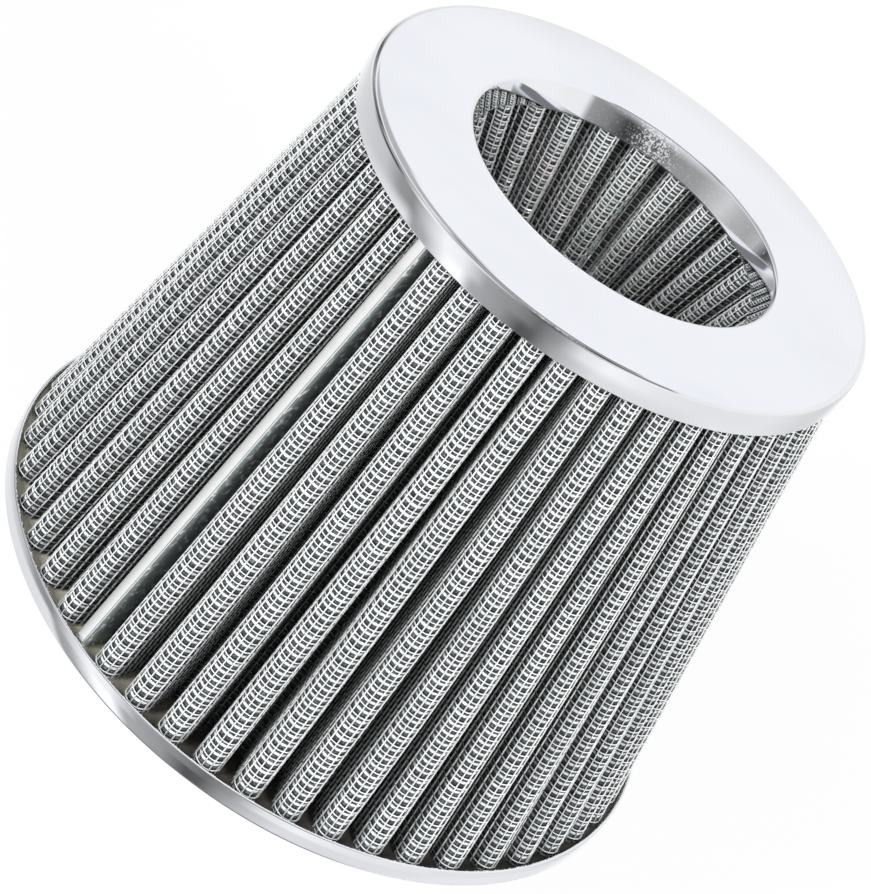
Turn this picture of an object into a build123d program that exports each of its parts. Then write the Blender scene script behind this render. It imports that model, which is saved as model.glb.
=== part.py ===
"""Open-topped cone air filter with an inverted inner cone, in millimetres.

The filter stands on the end of its rubber neck, +Z along its axis, with the origin at the middle of
that end. A wide pleated pack rises from a pressed base dish to a ring-shaped cap. A second pack hangs
from the hole of the cap and narrows downwards to a small closed cup, so that air comes in through both
packs and leaves through the neck. A pack is filter media between two layers of wire cloth, folded as
one wall, joined into a ring by a crimped strip and held at its ends by potting compound.
"""

import os
from math import acos, asin, degrees, radians
from typing import NamedTuple

from build123d import *

# Overall sizes
base_radius = 77.7
cap_radius = 58.0
body_height = 122.8
neck_drop = 20.0

# Base dish
base_sheet = 1.0
base_bevel = 1.0
base_rim_height = 5.4

# Top cap, with an outer skirt over the pleats and an inner skirt in its hole
cap_sheet = 0.8
cap_bevel = 0.7
cap_skirt_height = 7.2
cap_hole_radius = 35.5
cap_throat_radius = 33.5
cap_throat_depth = 6.2

# Rubber neck, with a flange inside the dish and a bead that keeps a hose clamp on
bore_radius = 38.0
neck_wall = 3.5
flange_width = 8.5
flange_thickness = 1.4
bead_height = 3.0
bead_swell = 1.4
bead_bevel = 0.7

# Potting compound
base_potting_recess = 1.8
base_potting_overlap = 4.0
top_potting_depth = 4.0
cup_potting_depth = 2.5

# End cup of the inner pack
cup_sheet = 0.8
cup_bevel = 0.6
cup_rim_rise = 2.0

# Pleated packs, with each depth at the pack's wide end
pack_wall = 1.0
ridge_share = 0.52
root_share = 0.38
ridge_facets = 5
root_facets = 2
outer_pleat_count = 49
outer_pleat_depth = 13.0
outer_seam_azimuth = -117.6
outer_seam_gap = 11.1
inner_pleat_count = 24
inner_pleat_depth = 8.0
inner_seam_azimuth = -79.0
inner_seam_gap = 26.0
inner_length = 54.0
inner_low_ridge = 17.5

# Seam strips, crimped at even steps
seam_inside_bend = 0.15
strip_sheet = 0.4
outer_strip_depth = 7.0
inner_strip_depth = 2.6
crimp_pitch = 20.0
crimp_width = 1.5
crimp_dent = 0.2

# Clearances
bonded_gap = 0.1
pack_gap = 0.3
neck_gap = 0.2

# Heights
foot_z = neck_drop
plate_z = foot_z + base_sheet
flange_z = plate_z + flange_thickness
rim_z = foot_z + base_rim_height
base_seat_z = rim_z - base_potting_recess
face_z = foot_z + body_height
ceiling_z = face_z - cap_sheet
cap_seat_z = ceiling_z - top_potting_depth
skirt_z = face_z - cap_skirt_height
throat_z = face_z - cap_throat_depth
cup_seat_z = cap_seat_z - inner_length
cup_plate_z = cup_seat_z - cup_potting_depth
cup_foot_z = cup_plate_z - cup_sheet
cup_rim_z = cup_seat_z + cup_rim_rise

# Radii
dish_inside = base_radius - base_sheet
skirt_inside = cap_radius - cap_sheet
neck_radius = bore_radius + neck_wall
flange_radius = neck_radius + flange_width
potting_mouth = flange_radius - base_potting_overlap

# Steps of the folds around the axis, in degrees
outer_pitch = (360 - outer_seam_gap) / (outer_pleat_count - 1)
inner_pitch = (360 - inner_seam_gap) / (inner_pleat_count - 1)


def throat_wall(z):
    """Outside radius of the cap's inner skirt at height z."""
    lean = (cap_hole_radius - cap_throat_radius) / cap_throat_depth
    return cap_throat_radius + cap_sheet + lean * (z - throat_z)


def outer_ridge(z):
    """Reach of the outer pack's ridges at height z: just inside the dish's rim and the cap's skirt."""
    low_ridge = dish_inside - pack_gap
    skirt_ridge = skirt_inside - pack_gap
    return low_ridge + (skirt_ridge - low_ridge) * (z - base_seat_z) / (skirt_z - base_seat_z)


def inner_ridge(z):
    """Reach of the inner pack's ridges at height z: just behind the cap's inner skirt at the top."""
    top_ridge = throat_wall(cap_seat_z) + pack_gap
    return inner_low_ridge + (top_ridge - inner_low_ridge) * (z - cup_seat_z) / inner_length


def fold_depth(wide_depth, wide_ridge, ridge, side):
    """Depth of a pack's folds where its ridges reach ridge: the middle of its wall narrows with the cone."""
    narrowing = (ridge - side * pack_wall / 2) / (wide_ridge - side * pack_wall / 2)
    return pack_wall + (wide_depth - pack_wall) * narrowing


def outer_depth(z):
    """Depth of the outer pack's folds at height z; they are deepest at the base."""
    return fold_depth(outer_pleat_depth, outer_ridge(base_seat_z), outer_ridge(z), 1)


def inner_depth(z):
    """Depth of the inner pack's folds at height z; they are deepest at the cap."""
    return fold_depth(inner_pleat_depth, inner_ridge(cap_seat_z), inner_ridge(z), -1)


cup_inside = inner_ridge(cup_rim_z) + inner_depth(cup_rim_z) + pack_gap
cup_radius = cup_inside + cup_sheet


def polar(radius, azimuth):
    """Point at a radius and an azimuth, in the plane."""
    return Vector(radius, 0).rotate(Axis.Z, azimuth)


class Fold(NamedTuple):
    """One bend of a pack: side is 1 where it bulges away from the axis and -1 where towards it."""

    azimuth: float
    centre: float
    bend: float
    side: int
    facets: int

    def middle(self):
        """Centre of the bend, in the plane."""
        return polar(self.centre, self.azimuth)


def pack_folds(ridge, depth, side, count, pitch, seam_azimuth, seam_gap):
    """All folds of a pack at one height, in order, from its seam round to its seam again.

    Their bends are set out on the middle of the wall and narrow with it, which keeps the facets flat.
    """
    ridge_middle = ridge - side * pack_wall / 2
    root_middle = ridge - side * (depth - pack_wall / 2)
    ridge_bend = ridge_share * ridge_middle * radians(pitch) / 2 + pack_wall / 2
    root_bend = root_share * root_middle * radians(pitch) / 2 + pack_wall / 2
    ridge_centre = ridge - side * ridge_bend
    root_centre = ridge - side * (depth - root_bend)
    seam_bend = pack_wall + seam_inside_bend
    seam_centre = ridge - side * (strip_sheet + bonded_gap + seam_bend)
    seam_flank = degrees(asin((seam_bend + root_bend - pack_wall) / root_centre))
    folds = [Fold(seam_azimuth, seam_centre, seam_bend, side, ridge_facets)]
    folds.append(Fold(seam_azimuth + seam_flank, root_centre, root_bend, -side, root_facets))
    for step in range(count):
        azimuth = seam_azimuth + seam_gap / 2 + step * pitch
        folds.append(Fold(azimuth, ridge_centre, ridge_bend, side, ridge_facets))
        if step < count - 1:
            folds.append(Fold(azimuth + pitch / 2, root_centre, root_bend, -side, root_facets))
    folds.append(Fold(seam_azimuth - seam_flank, root_centre, root_bend, -side, root_facets))
    return folds


def flank(start, start_bend, end, end_bend):
    """Ends of the straight wall that runs from one bend to the next, tangent to both."""
    run = end.middle() - start.middle()
    swing = degrees(acos((start_bend + end_bend) / run.length))
    normal = run.normalized().rotate(Axis.Z, -start.side * swing)
    return start.middle() + normal * start_bend, end.middle() - normal * end_bend


def bend_corners(fold, arrival, departure):
    """Corners of a bend's flat facets, from the flank that arrives to the flank that departs."""
    start = arrival - fold.middle()
    turn = start.get_signed_angle(departure - fold.middle(), Vector(0, 0, fold.side)) % 360
    steps = [fold.side * turn * step / fold.facets for step in range(fold.facets + 1)]
    return [fold.middle() + start.rotate(Axis.Z, angle) for angle in steps]


def pack_face(folds, face_side):
    """Closed outline of one face of a pack: face_side is 1 for its outside and -1 for its inside."""
    bends = [fold.bend if fold.side == face_side else fold.bend - pack_wall for fold in folds]
    following = folds[1:] + folds[:1]
    following_bends = bends[1:] + bends[:1]
    flanks = [flank(*ends) for ends in zip(folds, bends, following, following_bends)]
    corners = []
    for step, fold in enumerate(folds):
        corners += bend_corners(fold, flanks[step - 1][1], flanks[step][0])
    with BuildLine() as outline:
        Polyline(*corners, close=True)
    return outline.edges()


def pack_section(z, folds):
    """Flat section of a pack at height z."""
    with BuildSketch(Plane.XY.offset(z)) as section:
        make_face(pack_face(folds, 1))
        make_face(pack_face(folds, -1), mode=Mode.SUBTRACT)
    return section.sketch


def outer_section(z):
    """Section of the outer pack at height z."""
    seam = (outer_seam_azimuth, outer_seam_gap)
    folds = pack_folds(outer_ridge(z), outer_depth(z), 1, outer_pleat_count, outer_pitch, *seam)
    return pack_section(z, folds)


def inner_section(z):
    """Section of the inner pack at height z."""
    seam = (inner_seam_azimuth, inner_seam_gap)
    folds = pack_folds(inner_ridge(z), inner_depth(z), -1, inner_pleat_count, inner_pitch, *seam)
    return pack_section(z, folds)


# Strip: its slot takes the seam fold, and its back reaches as far as the other ridges
strip_slot = 2 * (pack_wall + seam_inside_bend + bonded_gap)
strip_width = strip_slot + 2 * strip_sheet


def strip_section(z, reach, depth, side, azimuth):
    """U-shaped section of a seam strip at height z, with its back at reach."""
    back = Align.MAX if side > 0 else Align.MIN
    with BuildSketch(Plane.XY.offset(z)) as section:
        with PolarLocations(reach, 1, start_angle=azimuth):
            Rectangle(depth, strip_width, align=(back, Align.CENTER))
        with PolarLocations(reach - side * strip_sheet, 1, start_angle=azimuth):
            Rectangle(depth, strip_slot, align=(back, Align.CENTER), mode=Mode.SUBTRACT)
    return section.sketch


def crimp_places(low_z, high_z, ridge, depth, side, azimuth):
    """Places of the crimp dents, in the middle of both legs of a seam strip, evenly spread along it."""
    count = int((high_z - low_z) / crimp_pitch)
    first_z = (low_z + high_z - (count - 1) * crimp_pitch) / 2
    places = []
    for step in range(count):
        z = first_z + step * crimp_pitch
        for leg in (-1, 1):
            dent = Vector(ridge(z) - side * depth / 2, leg * strip_width / 2, z)
            places.append(Location(dent.rotate(Axis.Z, azimuth), (0, 0, azimuth)))
    return places


os.makedirs("parts", exist_ok=True)

with BuildPart() as base_ring:
    with BuildSketch(Plane.XZ) as dish:
        with BuildLine():
            Polyline(
                (neck_radius + neck_gap, foot_z),
                (base_radius, foot_z),
                (base_radius, rim_z),
                (dish_inside, rim_z),
                (dish_inside, plate_z),
                (neck_radius + neck_gap, plate_z),
                close=True,
            )
        make_face()
        chamfer(dish.vertices().group_by(Axis.Y)[0].sort_by(Axis.X)[-1], base_bevel)
    revolve(axis=Axis.Z)
base_ring.part.label = "base_ring"
export_step(base_ring.part, "parts/base_ring.step")

with BuildPart() as inlet_neck:
    with BuildSketch(Plane.XZ) as neck:
        with BuildLine():
            Polyline(
                (bore_radius, 0),
                (neck_radius + bead_swell, 0),
                (neck_radius + bead_swell, bead_height),
                (neck_radius, bead_height),
                (neck_radius, plate_z),
                (flange_radius, plate_z),
                (flange_radius, flange_z),
                (bore_radius, flange_z),
                close=True,
            )
        make_face()
        chamfer(neck.vertices().group_by(Axis.X)[-2], bead_bevel)
    revolve(axis=Axis.Z)
inlet_neck.part.label = "inlet_neck"
export_step(inlet_neck.part, "parts/inlet_neck.step")

with BuildPart() as base_potting:
    with BuildSketch(Plane.XZ) as pour:
        with BuildLine():
            Polyline(
                (flange_radius + bonded_gap, plate_z),
                (dish_inside - bonded_gap, plate_z),
                (dish_inside - bonded_gap, base_seat_z),
                (potting_mouth, base_seat_z),
                (potting_mouth, flange_z),
                (flange_radius + bonded_gap, flange_z),
                close=True,
            )
        make_face()
    revolve(axis=Axis.Z)
base_potting.part.label = "base_potting"
export_step(base_potting.part, "parts/base_potting.step")

with BuildPart() as top_cap:
    with BuildSketch(Plane.XZ) as pressing:
        with BuildLine():
            Polyline(
                (cap_radius, skirt_z),
                (cap_radius, face_z),
                (cap_hole_radius, face_z),
                (cap_throat_radius, throat_z),
                (cap_throat_radius + cap_sheet, throat_z),
                (throat_wall(ceiling_z), ceiling_z),
                (skirt_inside, ceiling_z),
                (skirt_inside, skirt_z),
                close=True,
            )
        make_face()
        chamfer(pressing.vertices().group_by(Axis.Y)[-1], cap_bevel)
    revolve(axis=Axis.Z)
top_cap.part.label = "top_cap"
export_step(top_cap.part, "parts/top_cap.step")

with BuildPart() as top_potting:
    with BuildSketch(Plane.XZ) as pour:
        with BuildLine():
            Polyline(
                (throat_wall(cap_seat_z) + bonded_gap, cap_seat_z),
                (skirt_inside - bonded_gap, cap_seat_z),
                (skirt_inside - bonded_gap, ceiling_z),
                (throat_wall(ceiling_z) + bonded_gap, ceiling_z),
                close=True,
            )
        make_face()
    revolve(axis=Axis.Z)
top_potting.part.label = "top_potting"
export_step(top_potting.part, "parts/top_potting.step")

with BuildPart() as inner_end_cup:
    with BuildSketch(Plane.XZ) as pressing:
        with BuildLine():
            Polyline(
                (0, cup_foot_z),
                (cup_radius, cup_foot_z),
                (cup_radius, cup_rim_z),
                (cup_inside, cup_rim_z),
                (cup_inside, cup_plate_z),
                (0, cup_plate_z),
                close=True,
            )
        make_face()
        chamfer(pressing.vertices().group_by(Axis.Y)[0].sort_by(Axis.X)[-1], cup_bevel)
    revolve(axis=Axis.Z)
inner_end_cup.part.label = "inner_end_cup"
export_step(inner_end_cup.part, "parts/inner_end_cup.step")

with BuildPart() as inner_end_potting:
    with BuildSketch(Plane.XY.offset(cup_plate_z)):
        Circle(cup_inside - bonded_gap)
    extrude(amount=cup_potting_depth)
inner_end_potting.part.label = "inner_end_potting"
export_step(inner_end_potting.part, "parts/inner_end_potting.step")

with BuildPart() as outer_pleats:
    loft([outer_section(base_seat_z), outer_section(cap_seat_z)], ruled=True)
outer_pleats.part.label = "outer_pleats"
export_step(outer_pleats.part, "parts/outer_pleats.step")

with BuildPart() as inner_pleats:
    loft([inner_section(cup_seat_z), inner_section(cap_seat_z)], ruled=True)
inner_pleats.part.label = "inner_pleats"
export_step(inner_pleats.part, "parts/inner_pleats.step")

with BuildPart() as outer_seam_strip:
    for z in (base_seat_z, cap_seat_z):
        add(strip_section(z, outer_ridge(z), outer_strip_depth, 1, outer_seam_azimuth))
    loft(ruled=True)
    crimps = crimp_places(base_seat_z, cap_seat_z, outer_ridge, outer_strip_depth, 1, outer_seam_azimuth)
    with Locations(crimps):
        Box(crimp_width, 2 * crimp_dent, crimp_width, mode=Mode.SUBTRACT)
outer_seam_strip.part.label = "outer_seam_strip"
export_step(outer_seam_strip.part, "parts/outer_seam_strip.step")

with BuildPart() as inner_seam_strip:
    for z in (cup_seat_z, cap_seat_z):
        add(strip_section(z, inner_ridge(z), inner_strip_depth, -1, inner_seam_azimuth))
    loft(ruled=True)
    crimps = crimp_places(cup_seat_z, cap_seat_z, inner_ridge, inner_strip_depth, -1, inner_seam_azimuth)
    with Locations(crimps):
        Box(crimp_width, 2 * crimp_dent, crimp_width, mode=Mode.SUBTRACT)
inner_seam_strip.part.label = "inner_seam_strip"
export_step(inner_seam_strip.part, "parts/inner_seam_strip.step")
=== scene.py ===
"""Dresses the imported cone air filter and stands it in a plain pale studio.

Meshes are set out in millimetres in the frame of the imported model, +Z along the filter's axis, and
become metres where a mesh is made. Azimuths are in degrees from +X; -Y faces the camera.
"""

import logging
from dataclasses import dataclass
from enum import Enum
from math import acos, asin, cos, degrees, hypot, pi, radians, sin, tan
from typing import Any, NamedTuple

import bpy
import numpy as np
from mathutils import Matrix, Vector


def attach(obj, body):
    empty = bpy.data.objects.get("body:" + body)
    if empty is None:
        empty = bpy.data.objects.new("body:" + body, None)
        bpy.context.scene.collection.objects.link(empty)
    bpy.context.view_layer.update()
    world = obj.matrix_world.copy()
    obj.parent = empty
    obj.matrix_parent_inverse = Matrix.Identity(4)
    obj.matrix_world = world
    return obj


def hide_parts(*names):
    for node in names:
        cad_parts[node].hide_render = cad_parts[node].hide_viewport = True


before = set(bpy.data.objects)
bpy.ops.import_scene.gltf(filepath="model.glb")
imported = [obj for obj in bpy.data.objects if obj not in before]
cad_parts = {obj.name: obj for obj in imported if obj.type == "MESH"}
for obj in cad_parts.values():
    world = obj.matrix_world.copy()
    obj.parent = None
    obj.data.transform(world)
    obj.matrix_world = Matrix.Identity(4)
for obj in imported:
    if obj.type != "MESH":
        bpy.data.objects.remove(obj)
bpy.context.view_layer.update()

MM = 0.001
ROOT = "root"
WHITE = (1.0, 1.0, 1.0)

# What the meshes carry for their finishes
CLOTH = "cloth"
FILM = "film"
# Depth in the folds, which the gauze and the wires turn into painted shade
SUNK = "sunk"

Colour = tuple[float, float, float]
Span = tuple[float, float]

log = logging.getLogger("cone_filter")


class Slot(Enum):
    """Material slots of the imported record."""

    CHROME = "chrome_plate"
    PACK = "wire_cloth_pack"
    SEAM = "seam_metal"
    CUP = "cup_metal"
    POTTING = "potting"
    RUBBER = "neck_rubber"


class Facing(Enum):
    """Which way the ridges of a pleated pack point: away from the axis or towards it."""

    OUTWARD = 1
    INWARD = -1


class Value:
    """A shader socket that takes part in Python expressions; each operation adds a node."""

    def __init__(self, shader: "Shader", socket: bpy.types.NodeSocket) -> None:
        """Wraps one output socket of a shader's node."""
        self.shader = shader
        self.socket = socket

    def math(self, operation: str, *terms: Any) -> "Value":
        """Adds a Math node.

        Args:
            operation: The node's operation.
            terms: Its inputs, as values or numbers.

        Returns:
            The node's result.
        """
        return self.shader.node("ShaderNodeMath", {"operation": operation}, dict(enumerate(terms)))

    def __add__(self, other: Any) -> "Value":
        """Sum."""
        return self.math("ADD", self, other)

    __radd__ = __add__

    def __sub__(self, other: Any) -> "Value":
        """Difference."""
        return self.math("SUBTRACT", self, other)

    def __rsub__(self, other: Any) -> "Value":
        """Difference from a number."""
        return self.math("SUBTRACT", other, self)

    def __neg__(self) -> "Value":
        """The value with its sign changed."""
        return 0 - self

    def __mul__(self, other: Any) -> "Value":
        """Product."""
        return self.math("MULTIPLY", self, other)

    __rmul__ = __mul__

    def __truediv__(self, other: Any) -> "Value":
        """Quotient."""
        return self.math("DIVIDE", self, other)

    def __rtruediv__(self, other: Any) -> "Value":
        """Quotient of a number."""
        return self.math("DIVIDE", other, self)

    def __abs__(self) -> "Value":
        """The value without its sign."""
        return self.math("ABSOLUTE", self)

    def least(self, other: Any) -> "Value":
        """The smaller of two values."""
        return self.math("MINIMUM", self, other)

    def sine(self) -> "Value":
        """Sine of an angle in radians."""
        return self.math("SINE", self)

    def pingpong(self, reach: float) -> "Value":
        """Distance to the nearest multiple of twice the reach."""
        return self.math("PINGPONG", self, reach)

    def clamped(self) -> "Value":
        """The value, kept between 0 and 1."""
        return self.math("MAXIMUM", self.least(1.0), 0.0)

    def step(self, low: float, high: float) -> "Value":
        """Smooth step.

        Args:
            low: Value that gives 0.
            high: Value that gives 1.

        Returns:
            The step's height, from 0 to 1.
        """
        return self.shader.node(
            "ShaderNodeMapRange",
            {"interpolation_type": "SMOOTHSTEP"},
            {"Value": self, "From Min": low, "From Max": high, "To Min": 0.0, "To Max": 1.0},
        )


class Mottle(NamedTuple):
    """Patches of noise: size, octaves of finer noise, and the levels where a patch starts and is full."""

    size_mm: float
    detail: float
    low: float
    high: float


class Shader:
    """A node tree that is written as expressions."""

    def __init__(self, tree: bpy.types.NodeTree) -> None:
        """Empties a node tree and takes it over."""
        self.tree = tree
        tree.nodes.clear()

    def node(
        self,
        kind: str,
        settings: dict[str, Any] | None = None,
        inputs: dict[int | str, Any] | None = None,
        output: int | str = 0,
    ) -> Value:
        """Adds any node.

        Args:
            kind: The node's type.
            settings: Its settings, set before its inputs; "stops" are a colour ramp's stops.
            inputs: Its sockets, by name or place, with a value or a link for each.
            output: The output wanted, by name or place.

        Returns:
            That output.
        """
        made = self.tree.nodes.new(kind)
        for name, setting in (settings or {}).items():
            if name == "stops":
                self._set_stops(made.color_ramp, setting)
            else:
                setattr(made, name, setting)
        for place, term in (inputs or {}).items():
            if isinstance(term, Value):
                self.tree.links.new(term.socket, made.inputs[place])
            else:
                made.inputs[place].default_value = term
        return Value(self, made.outputs[output] if made.outputs else None)

    @staticmethod
    def _set_stops(ramp: bpy.types.ColorRamp, stops: list[tuple[float, Colour]]) -> None:
        """Gives a colour ramp its stops.

        Args:
            ramp: The ramp.
            stops: The stops, as places with colours.
        """
        while len(ramp.elements) < len(stops):
            ramp.elements.new(1.0)
        for element, (place, colour) in zip(ramp.elements, stops):
            element.position = place
            element.color = (*colour, 1.0)

    def mix(self, factor: Any, first: Any, second: Any) -> Value:
        """Mixes two colours.

        Args:
            factor: Share of the second colour.
            first: Colour at factor 0.
            second: Colour at factor 1.

        Returns:
            The mixed colour.
        """
        settings = {"data_type": "RGBA"}
        return self.node("ShaderNodeMix", settings, {0: factor, 6: opaque(first), 7: opaque(second)}, 2)

    def position(self) -> Value:
        """Place of the shaded point, in metres, in the filter's frame."""
        return self.node("ShaderNodeTexCoord", None, None, "Object")

    def axes(self, vector: Value) -> list[Value]:
        """The three axes of a vector."""
        return [self.node("ShaderNodeSeparateXYZ", None, {0: vector}, axis) for axis in range(3)]

    def carried(self, name: str, output: str = "Fac") -> Value:
        """What a mesh carries under a name, as a number or as a vector."""
        return self.node("ShaderNodeAttribute", {"attribute_name": name}, None, output)

    def length(self, vector: Value) -> Value:
        """Length of a vector."""
        return self.node("ShaderNodeVectorMath", {"operation": "LENGTH"}, {0: vector}, "Value")

    def ray(self, kind: str) -> Value:
        """1 for rays of the kind that Light Path has under a name, 0 for others."""
        return self.node("ShaderNodeLightPath", None, None, kind)

    def noise(self, vector: Value, size_mm: float, detail: float = 3.0) -> Value:
        """Noise whose features have about a given size.

        Args:
            vector: Place to sample, in metres.
            size_mm: Size of the largest features.
            detail: Octaves of finer noise.

        Returns:
            The noise, around 0.5.
        """
        inputs = {"Vector": vector, "Scale": 1 / (size_mm * MM), "Detail": detail}
        return self.node("ShaderNodeTexNoise", None, inputs, 0)

    def mottle(self, vector: Value, mottle: Mottle) -> Value:
        """Soft patches, from 0 to 1.

        Args:
            vector: Place to sample, in metres.
            mottle: What the patches are like.

        Returns:
            1 in the patches and 0 between them.
        """
        return self.noise(vector, mottle.size_mm, mottle.detail).step(mottle.low, mottle.high)

    def bump(self, height: Value, distance_mm: float, strength: float = 1.0) -> Value:
        """Bump from a height between 0 and 1.

        Args:
            height: The height.
            distance_mm: What a height of 1 stands for.
            strength: Share of the bump that shows.

        Returns:
            The bumped normal.
        """
        inputs = {"Strength": strength, "Distance": distance_mm * MM, "Height": height}
        return self.node("ShaderNodeBump", None, inputs)

    def surface(self, inputs: dict[int | str, Any]) -> None:
        """Ends a material in one Principled shader with these inputs."""
        shader = self.node("ShaderNodeBsdfPrincipled", None, inputs)
        self.node("ShaderNodeOutputMaterial", None, {"Surface": shader})


def opaque(colour: Any) -> Any:
    """A colour with full alpha, where it is given as three numbers."""
    return (*colour, 1.0) if isinstance(colour, tuple) and len(colour) == 3 else colour


def new_material(name: str) -> tuple[bpy.types.Material, Shader]:
    """Makes an empty node material.

    Args:
        name: The material's name.

    Returns:
        The material and its shader.
    """
    material = bpy.data.materials.new(name)
    material.use_nodes = True
    return material, Shader(material.node_tree)


@dataclass(frozen=True)
class ChromePlate:
    """Polished plating: almost a mirror, with faint haze and handling marks."""

    colour: Colour = (0.90, 0.91, 0.935)
    haze_colour: Colour = (0.83, 0.84, 0.87)
    polish: float = 0.02
    haze: float = 0.07
    cloud: Mottle = Mottle(38.0, 4.0, 0.42, 0.72)
    cloud_share: float = 0.6
    speck: Mottle = Mottle(1.6, 2.0, 0.66, 0.80)
    speck_share: float = 0.25
    ripple_width_mm: float = 21.0
    ripple_mm: float = 0.012

    def material(self) -> bpy.types.Material:
        """Makes the finish.

        Returns:
            Its material.
        """
        material, shader = new_material("chrome_plate")
        place = shader.position()
        cloud = shader.mottle(place, self.cloud) * self.cloud_share
        speck = shader.mottle(place, self.speck) * self.speck_share
        marks = (cloud + speck).clamped()
        ripple = shader.noise(place, self.ripple_width_mm, 1.0)
        shader.surface(
            {
                "Base Color": shader.mix(marks, self.colour, self.haze_colour),
                "Metallic": 1.0,
                "Roughness": marks * (self.haze - self.polish) + self.polish,
                "Normal": shader.bump(ripple, self.ripple_mm),
            }
        )
        return material


@dataclass(frozen=True)
class BrightWire:
    """Drawn wire of the cloth: bright metal, a little dulled in places, with painted shade down in the
    folds.
    """

    colour: Colour = (0.99, 0.995, 0.99)
    dull_colour: Colour = (0.80, 0.83, 0.83)
    # Painted shade: the wires darken to this colour down in the folds.
    dust_and_shade_colour: Colour = (0.16, 0.17, 0.175)
    metal: float = 0.6
    polish: float = 0.25
    dullness: float = 0.40
    cloud: Mottle = Mottle(9.0, 3.0, 0.45, 0.75)
    cloud_share: float = 0.5
    grain_width_mm: float = 0.8
    grain_share: float = 0.35
    # Painted shade sets in between these depths in the folds and reaches this share.
    fold_shade_edge: Span = (0.06, 0.5)
    dust_and_shade_share: float = 0.8

    def material(self) -> bpy.types.Material:
        """Makes the finish.

        Returns:
            Its material.
        """
        material, shader = new_material("bright_wire")
        place = shader.position()
        cloud = shader.mottle(place, self.cloud) * self.cloud_share
        grain = shader.noise(place, self.grain_width_mm, 2.0) * self.grain_share
        dull = (cloud + grain).clamped()
        # Painted shade, darker with depth in the folds.
        dust = shader.carried(SUNK).step(*self.fold_shade_edge) * self.dust_and_shade_share
        unshaded_wire = shader.mix(dull, self.colour, self.dull_colour)
        shader.surface(
            {
                "Base Color": shader.mix(dust, unshaded_wire, self.dust_and_shade_colour),
                "Metallic": self.metal,
                "Roughness": dull * (self.dullness - self.polish) + self.polish,
            }
        )
        return material


@dataclass(frozen=True)
class GreyGauze:
    """Filter media: grey gauze under the wire cloth. Its pattern is set out in cells of the cloth.

    The mesh carries the cell across, the cell along, and 1 on the clean side, where the second wire
    cloth lies flat in the gauze. The wires lie where a cell's number is whole, and the edges of the painted
    shadow beside the crossways wires and of the wires are counted in cells from there. Painted shade darkens
    the gauze with its depth in the folds; a higher edge for it keeps that shade off the gauze deeper in the
    folds.
    """

    thread_colour: Colour = (0.66, 0.69, 0.705)
    weave_colour: Colour = (0.026, 0.03, 0.032)
    # Painted shadow beside the crossways wires.
    rung_shadow_colour: Colour = (0.012, 0.014, 0.016)
    wire_colour: Colour = (0.55, 0.56, 0.56)
    threads_per_cell: int = 2
    weft_edge: Span = (0.35, 0.8)
    weft_share: float = 0.85
    warp_share: float = 0.05
    fuzz_width_mm: float = 0.45
    fuzz_share: float = 0.8
    wander_width_mm: float = 3.0
    wander_cells: float = 0.16
    # Painted shadow beside the crossways wires fades out between these distances from a wire, in cells.
    rung_shadow_edge: Span = (0.09, 0.2)
    wire_edge: Span = (0.07, 0.11)
    stain: Mottle = Mottle(14.0, 3.0, 0.35, 0.75)
    stain_share: float = 0.3
    # Painted shade that darkens the gauze with its depth in the folds.
    fold_shade_edge: Span = (0.04, 0.45)
    dust_and_shade_share: float = 0.85
    matt: float = 0.75
    fuzz_matt: float = 0.15
    wire_polish: float = 0.4
    relief_mm: float = 0.2
    relief_shown: float = 0.8

    def profile(self, cells: Value) -> Value:
        """Height of a run of threads, from 0 to 1, at a place counted in cells."""
        turns = 2 * pi * self.threads_per_cell
        return (cells * turns + pi / 2).sine() * 0.5 + 0.5

    def material(self) -> bpy.types.Material:
        """Makes the finish.

        Returns:
            Its material.
        """
        material, shader = new_material("grey_gauze")
        place = shader.position()
        across, along, clean_side = shader.axes(shader.carried(CLOTH, "Vector"))
        fuzz = shader.noise(place, self.fuzz_width_mm)
        wander = (shader.noise(place, self.wander_width_mm, 2.0) - 0.5) * self.wander_cells
        weft = self.profile(along + wander).step(*self.weft_edge) * self.weft_share
        warp = self.profile(across + wander) * self.warp_share
        threads = (weft + warp + (fuzz - 0.5) * self.fuzz_share).clamped()
        stain = shader.mottle(place, self.stain) * self.stain_share
        # Painted shade: the gauze darkens towards the weave colour with its depth in the folds.
        dust = shader.carried(SUNK).step(*self.fold_shade_edge) * self.dust_and_shade_share
        weave = shader.mix(threads * (1 - stain) * (1 - dust), self.weave_colour, self.thread_colour)
        to_rail, to_rung = across.pingpong(0.5), along.pingpong(0.5)
        # Painted shadow beside the crossways wires.
        gauze = shader.mix(to_rung.step(*self.rung_shadow_edge), self.rung_shadow_colour, weave)
        wires = (1 - to_rail.least(to_rung).step(*self.wire_edge)) * clean_side
        shader.surface(
            {
                "Base Color": shader.mix(wires, gauze, self.wire_colour),
                "Roughness": fuzz * self.fuzz_matt + self.matt - wires * self.wire_polish,
                "Metallic": wires,
                "Normal": shader.bump(threads + wires, self.relief_mm, self.relief_shown),
            }
        )
        return material


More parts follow.
